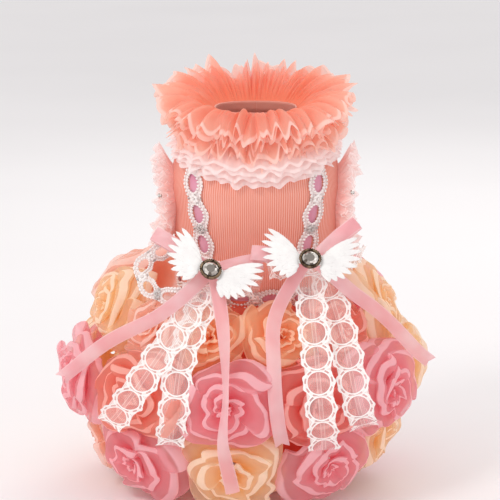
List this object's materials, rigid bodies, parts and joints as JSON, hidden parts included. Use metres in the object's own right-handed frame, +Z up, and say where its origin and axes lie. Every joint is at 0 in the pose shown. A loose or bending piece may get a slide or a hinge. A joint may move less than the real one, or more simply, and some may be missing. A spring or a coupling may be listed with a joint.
{
  "type": "dog dress",
  "caption": "Small dog's party dress with a pleated ruff, ribbed bodice, lace and satin tails, winged brooches and a rosette skirt.",
  "frame": {"origin": "centre of the neck opening, where the dress hangs from the neck", "axes": "+Z up out of the neck opening, -Y out of the decorated front, +X to the right as seen from the front"},
  "size_m": [0.2738, 0.2527, 0.2963],
  "materials": {
    "salmon_cloth": "ribbed",
    "peach_tulle": "pleated sheer",
    "white_tulle": "sheer",
    "white_lace": "lace",
    "rose_ribbon": "satin",
    "pink_satin": "satin",
    "white_enamel": "gloss",
    "antique_bronze": "aged",
    "clear_stone": "faceted",
    "lining": "matte",
    "cream": "sheer layers",
    "peach": "sheer layers",
    "apricot": "sheer layers",
    "salmon": "sheer layers",
    "coral": "sheer layers",
    "pink": "sheer layers"
  },
  "bodies": {
    "root": {"bodice": "salmon_cloth", "collar_ruff_upper": "peach_tulle", "collar_ruff_lower": "peach_tulle", "yoke_frill": "white_tulle", "sleeve_frill_left": "white_tulle", "sleeve_frill_right": "white_tulle", "strap_ribbon_left": "rose_ribbon", "strap_ribbon_right": "rose_ribbon", "strap_lace_left": "white_lace", "strap_lace_right": "white_lace", "waist_ribbon": "rose_ribbon", "waist_lace": "white_lace", "trim_loop_left": "white_lace", "lace_loop_left": "white_lace", "lace_loop_middle": "white_lace", "lace_loop_right": "white_lace", "lace_tail_left_inner": "white_lace", "lace_tail_left_outer": "white_lace", "lace_tail_right_outer": "white_lace", "lace_tail_right_inner": "white_lace", "satin_tail_left_outer": "pink_satin", "satin_tail_left_inner": "pink_satin", "satin_tail_right_inner": "pink_satin", "satin_tail_right_outer": "pink_satin", "satin_bow_left": "pink_satin", "satin_bow_right": "pink_satin", "wings_left": "white_enamel", "wings_right": "white_enamel", "setting_left": "antique_bronze", "setting_right": "antique_bronze", "stone_left": "clear_stone", "stone_right": "clear_stone", "skirt_foundation": "lining", "rosette_01": "cream", "rosette_02": "peach", "rosette_03": "apricot", "rosette_04": "apricot", "rosette_05": "salmon", "rosette_06": "cream", "rosette_07": "pink", "rosette_08": "cream", "rosette_09": "peach", "rosette_10": "pink", "rosette_11": "salmon", "rosette_12": "pink", "rosette_13": "coral", "rosette_14": "pink", "rosette_15": "cream", "rosette_16": "salmon", "rosette_17": "pink", "rosette_18": "cream", "rosette_19": "peach", "rosette_20": "pink", "rosette_21": "cream", "rosette_22": "pink", "rosette_23": "cream", "rosette_24": "pink", "rosette_25": "peach", "rosette_26": "cream", "rosette_27": "coral"}
  },
  "joints": []
}
